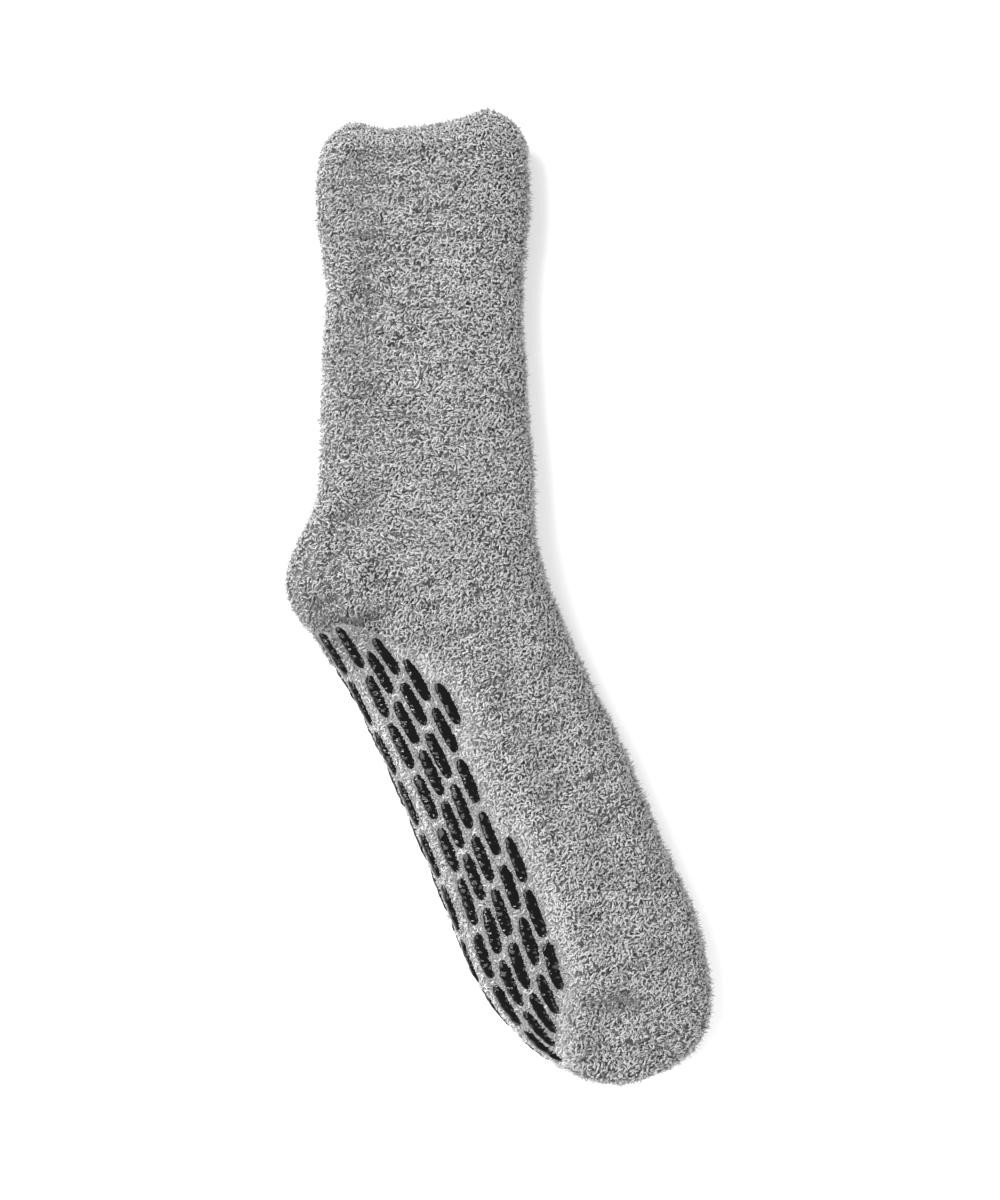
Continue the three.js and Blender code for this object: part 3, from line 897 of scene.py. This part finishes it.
def pile(low, high, pitch, seed):
    """Locks of the pile between two ways: short curls that lean at random about the stitches' slant, some
    lying and some standing, flatter and paler where the pile is brushed flat."""
    rng = np.random.default_rng(seed)
    way, share = kept(*strewn(low, high, pitch, rng), rng, 0.4, 0.5)
    root, normal, along = rooted(way, share)
    count = len(way)
    flat, beside = smoothness(root, way, share)
    rows = stitch_rows(way, share)
    lines = (0.22 * rows - 0.45 * smoothstep(-rows, 0.7, 2)) * (1 - opened(share))
    # painted shade: the locks darken in the creases' troughs and in the cracks between stitch rows, and
    # lighten on the ridges as painted light
    crease_shade = np.clip(1.2 * folds(way, share), -2.2, 0.5) + lines
    heading = rng.normal(math.pi / 2 + 0.45, 0.8, count) + math.pi * rng.integers(0, 2, count)
    length = rng.uniform(1.5, 2.9, count)
    width = rng.uniform(0.62, 0.95, count) * (1 - 0.15 * flat + 0.25 * beside)
    arch = rng.uniform(0.2, 0.6, count) * (1 - 0.5 * flat)
    stand = rng.beta(1.1, 2.9, count) * 2.1 * (1 - 0.65 * flat)
    stand = stand * (1 + 0.8 * opened(share)) * (1 - 0.5 * beside)
    curl = rng.normal(0, 0.42, count)
    points, faces = grains(root, normal, along, heading, length, width, arch, stand, curl, LOCK_STATIONS)
    own = (rng.beta(2.2, 2.2, count) - 0.5) * (0.42 - 0.2 * beside) + 0.46 + 0.2 * flat + 0.1 * beside
    tones = grain_tones_and_root_shade(own + 0.22 * crease_shade, 0.76 - 0.32 * flat - 0.22 * beside, LOCK_STATIONS)
    return off_floor(points), faces, tones


PILE_BANDS = [
    ("pile_of_collar", -44, 56),
    ("pile_of_leg", 56, 126),
    ("pile_of_heel", 126, 200),
    ("pile_of_foot", 200, 285),
    ("pile_of_toe", 285, SKIN_END - RIM_PLACE),
]
PILE_PITCH = 1.13  # between neighbouring locks
for number, (name, low, high) in enumerate(PILE_BANDS):
    make_piece(name, *pile(low, high, PILE_PITCH, 101 + number), plush, "plush_knit")


def fine_tufts(low, high, pitch, seed):
    """The brushed ends of the yarn between the locks: thin pale tufts that stand up and lean over."""
    rng = np.random.default_rng(seed)
    way, share = kept(*strewn(low, high, pitch, rng), rng, 0.12, 0.2)
    root, normal, along = rooted(way, share)
    count = len(way)
    flat, beside = smoothness(root, way, share)
    heading = rng.uniform(0, 2 * math.pi, count)
    length = rng.uniform(0.8, 2.1, count)
    width = rng.uniform(0.3, 0.52, count)
    arch = rng.uniform(0.3, 0.7, count) * (1 - 0.3 * flat)
    stand = rng.beta(1.3, 2.6, count) * 2.5 * (1 - 0.7 * flat)
    stand = stand * (1 + opened(share)) * (1 - 0.4 * beside)
    curl = rng.normal(0, 0.3, count)
    points, faces = grains(root, normal, along, heading, length, width, arch, stand, curl, TUFT_STATIONS)
    own = 0.66 + (rng.uniform(0, 1, count) - 0.5) * (0.48 - 0.25 * beside) + 0.05 * beside
    # painted shade in the creases' troughs and painted light on their ridges
    own = own + 0.22 * np.clip(1.2 * folds(way, share), -2.2, 0.5)
    return off_floor(points), faces, grain_tones_and_root_shade(own, np.full(count, 0.4), TUFT_STATIONS)


TUFT_BANDS = [("tufts_of_leg", -20, 190), ("tufts_of_foot", 190, SKIN_END - RIM_PLACE)]
TUFT_PITCH = 1.42
for number, (name, low, high) in enumerate(TUFT_BANDS):
    make_piece(name, *fine_tufts(low, high, TUFT_PITCH, 121 + number), plush, "plush_knit")


def rim_fringe(pitch, seed):
    """Locks that stand up round the rim, where the knit turns over and its pile opens out."""
    rng = np.random.default_rng(seed)
    way, share = strewn(-7, 4, pitch, rng)
    root, normal, along = skin(way, share)
    count = len(way)
    heading = rng.uniform(0, 2 * math.pi, count)
    length = rng.uniform(1.0, 2.2, count)
    width = rng.uniform(0.5, 0.85, count)
    stand = rng.uniform(0.6, 2.4, count)
    curl = rng.normal(0, 0.4, count)
    points, faces = grains(root, normal, along, heading, length, width, np.full(count, 0.3), stand, curl,
                           LOCK_STATIONS)
    own = rng.uniform(0.4, 0.85, count)
    return off_floor(points), faces, grain_tones_and_root_shade(own, np.full(count, 0.4), LOCK_STATIONS)


make_piece("rim_fringe", *rim_fringe(pitch=0.95, seed=125), plush, "plush_knit")


def stray_fibres(pitch, seed):
    """Fine single fibres that stand out of the pile: thin grains, long and upright."""
    rng = np.random.default_rng(seed)
    way, share = strewn(-6, SKIN_END - RIM_PLACE, pitch, rng)
    keep = from_strokes(*tread_place(outside(way), share)) > 1
    keep &= (np.abs(share + 0.5) > UNDERSIDE_BARE) | (way < 0)
    root, normal, along = skin(way[keep], share[keep])
    count = len(root)
    heading = rng.uniform(0, 2 * math.pi, count)
    length = rng.uniform(0.8, 2.6, count)
    width = rng.uniform(0.14, 0.26, count)
    stand = rng.uniform(1.4, 3.6, count)
    curl = rng.normal(0, 0.5, count)
    points, faces = grains(root, normal, along, heading, length, width, np.full(count, 0.4), stand, curl,
                           TUFT_STATIONS)
    points_each = len(points) // count
    return off_floor(points), faces, np.repeat(rng.uniform(0.55, 0.9, count), points_each)


make_piece("stray_fibres", *stray_fibres(pitch=2.5, seed=131), plush, "plush_knit")

# The grip tread


def pressed_ground():
    """A thin slab that follows the sole: the ground's outline carried along the print's middle line, its
    face raised by fine waves."""
    rows, columns, under = 200, 60, 10
    along = np.linspace(TREAD_OUTLINE[0][0], TREAD_OUTLINE[-1][0], rows)[:, None] * TREAD_LENGTH
    top = np.linspace(-1, 1, columns)[None, :]
    bottom = np.linspace(1, -1, under)[None, :]
    half = ground_half(np.clip(along, along[0] + 0.01, along[-1] - 0.01)) + 0.6
    face = tread_point(along + 0 * top, half * top, np.full((rows, columns), PRESSED_DEPTH))
    fine = 0.1 * waves(face, 2.0, 31) + 0.12 * waves(face, 3.6, 32)
    face = tread_point(along + 0 * top, half * top, PRESSED_DEPTH - fine)
    back_depth = np.full((rows, under), PRESSED_DEPTH + GROUND_THICKNESS)
    back = tread_point(along + 0 * bottom, half * bottom, back_depth)
    points = np.concatenate([face, back], 1)[:, ::-1].reshape(-1, 3)
    return points, ring_faces(rows, columns + under), None


make_piece("pressed_ground", *pressed_ground(), pressed, "plush_knit", ["grip_sole"])


def pressed_pile(pitch, seed):
    """Short locks pressed flat on the ground between the strokes, none of them under a stroke."""
    rng = np.random.default_rng(seed)
    rows, columns = int(TREAD_LENGTH / pitch), int(2 * TREAD_HALF_WIDTH / pitch)
    along = (np.arange(rows)[:, None] + rng.uniform(0, 1, (rows, columns))).ravel() / rows * TREAD_LENGTH
    across = (np.arange(columns)[None, :] + rng.uniform(0, 1, (rows, columns))).ravel() / columns * 2 - 1
    across = across * TREAD_HALF_WIDTH
    keep = np.abs(across) < ground_half(along) + 0.3
    along, across = along[keep], across[keep]
    away = from_strokes(along, across)
    free = (away > -0.5) & (away < 5)
    along, across = along[free], across[free]

    def bare(a, b):
        return tread_point(a, b, PRESSED_DEPTH - 0.12 + 0 * a)

    root = bare(along, across)
    down = unit(bare(along + 0.5, across) - bare(along - 0.5, across))
    normal = unit(np.cross(down, bare(along, across + 0.5) - bare(along, across - 0.5)))
    count = len(root)
    heading = rng.normal(math.pi / 2, 1.0, count)
    length = rng.uniform(1.1, 2.3, count)
    width = rng.uniform(0.42, 0.7, count)
    arch = rng.uniform(0.0, 0.25, count)
    stand = rng.uniform(-0.1, 0.65, count)
    curl = rng.normal(0, 0.3, count)
    points, faces = grains(root, normal, down, heading, length, width, arch, stand, curl, TUFT_STATIONS)
    # painted shade of the heel: the pressed locks darken towards the heel end of the tread
    own = rng.beta(2.2, 1.9, count) * 0.5 + 0.24 - 0.4 * smoothstep(-along, -24, 2)
    return off_floor(points), faces, grain_tones_and_root_shade(own, np.full(count, 0.36), TUFT_STATIONS)


make_piece("pressed_pile", *pressed_pile(pitch=0.82, seed=141), plush, "plush_knit")


def grip_strokes():
    """Domed bars with blunt ends: at a share t of its half length a stroke keeps (1 - 0.22 t^2) times
    (1 - |t|^9)^0.5 of its width, its section is a flat arch, and waves roughen its edge and crown."""
    stations, corners = 25, 14
    t = np.sin(np.linspace(-math.pi / 2 * 0.97, math.pi / 2 * 0.97, stations))[None, :, None]
    angle = (np.arange(corners) * 2 * math.pi / corners)[None, None, :]
    rng = np.random.default_rng(41)
    size = rng.uniform(0.97, 1.09, (len(STROKES), 1, 1))
    drift = rng.normal(0, 0.25, (len(STROKES), 2))
    along = STROKES[:, 0, None, None] + drift[:, 0, None, None] + t * size * STROKE_LENGTH / 2
    half = STROKE_WIDTH / 2 * (1 - 0.22 * t**2) * (1 - np.abs(t) ** 9) ** 0.5
    centre = tread_point(along, STROKES[:, 1, None, None] + 0 * along, 0 * along)
    edge = 0.97 + 0.07 * waves(centre + np.sign(np.cos(angle))[..., None] * 5, 2.8, 42)
    across = STROKES[:, 1, None, None] + drift[:, 1, None, None] + half * edge * np.cos(angle)
    crown = -0.35 + 0.12 * waves(tread_point(along + 0 * across, across, 0 * across), 3.2, 43)
    lift = np.maximum(np.sin(angle), 0) ** 0.55 * (1 - 0.55 * np.abs(t) ** 5)
    base = PRESSED_DEPTH + 0.25
    inset = base + (crown - base) * lift - 0.2 * np.minimum(np.sin(angle), 0)
    points = tread_point(along + 0 * across, across, inset)
    faces = ring_faces(stations, corners)
    offsets = np.arange(len(STROKES))[:, None, None] * stations * corners
    return off_floor(points.reshape(-1, 3)), (faces[None] + offsets).reshape(-1, 4)[:, ::-1], None


make_piece("grip_strokes", *grip_strokes(), silicone, "grip_silicone", ["grip_sole"])

# Floor, light and camera


def floor_material():
    """Matt white paper: no gloss, only the faintest unevenness."""
    material, tree, shader = new_material("white_paper_sweep")
    place = add_node(tree, "ShaderNodeTexCoord").outputs["Object"]
    grain = add_node(tree, "ShaderNodeTexNoise", Vector=place, Scale=wave_scale(60), Detail=1.0)
    colour = add_node(tree, "ShaderNodeMix", {"data_type": "RGBA"}, i0=grain.outputs["Fac"],
                      i6=linear("#f4f4f4"), i7=linear("#f7f7f7"))
    tree.links.new(colour.outputs[2], shader.inputs["Base Color"])
    shader.inputs["Roughness"].default_value = 1.0
    shader.inputs["Specular IOR Level"].default_value = 0.0
    return material


def add_floor(size=6.0):
    """The paper that the sock lies on: one square with sides of this many metres."""
    mesh = bpy.data.meshes.new("floor")
    half = size / 2
    corners = [(-half, -half, 0), (half, -half, 0), (half, half, 0), (-half, half, 0)]
    mesh.from_pydata(corners, [], [(0, 1, 2, 3)])
    mesh.materials.append(floor_material())
    floor = bpy.data.objects.new("floor", mesh)
    bpy.context.scene.collection.objects.link(floor)
    floor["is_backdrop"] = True


def add_area_light(name, place, width, height, power):
    """A soft light at a place in metres, turned towards the sock, its height in the plane that stands
    through both."""
    light = bpy.data.lights.new(name, "AREA")
    light.shape = "RECTANGLE"
    light.size = width
    light.size_y = height
    light.energy = power
    obj = bpy.data.objects.new(name, light)
    obj.location = place
    obj.rotation_euler = (-Vector(place)).to_track_quat("-Z", "Y").to_euler()
    bpy.context.scene.collection.objects.link(obj)


def add_camera():
    """Straight above the sock, with the frame's long side 480 mm at the sock's middle height."""
    lens, sensor, frame_height, sock_middle = 100, 36, 480 * MM, 15 * MM
    data = bpy.data.cameras.new("camera")
    data.lens = lens
    data.sensor_width = sensor
    camera = bpy.data.objects.new("camera", data)
    camera.location = (0, 0, sock_middle + frame_height * lens / sensor)
    bpy.context.scene.collection.objects.link(camera)
    bpy.context.scene.camera = camera


add_floor()
add_area_light("window_light", (-1.15, 0.6, 1.1), 1.4, 1.4, 58)
add_area_light("fill_light", (1.0, -1.0, 0.95), 1.2, 1.2, 26)
add_area_light("glint_strip", (-0.96, -0.38, 0.95), 0.045, 1.4, 16)
add_camera()
world = bpy.data.worlds.new("studio")
world.use_nodes = True
background = next(node for node in world.node_tree.nodes if node.type == "BACKGROUND")
background.inputs["Color"].default_value = (1, 1, 1, 1)
background.inputs["Strength"].default_value = 0.62
bpy.context.scene.world = world
bpy.context.scene.view_settings.view_transform = "Standard"

low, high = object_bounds()
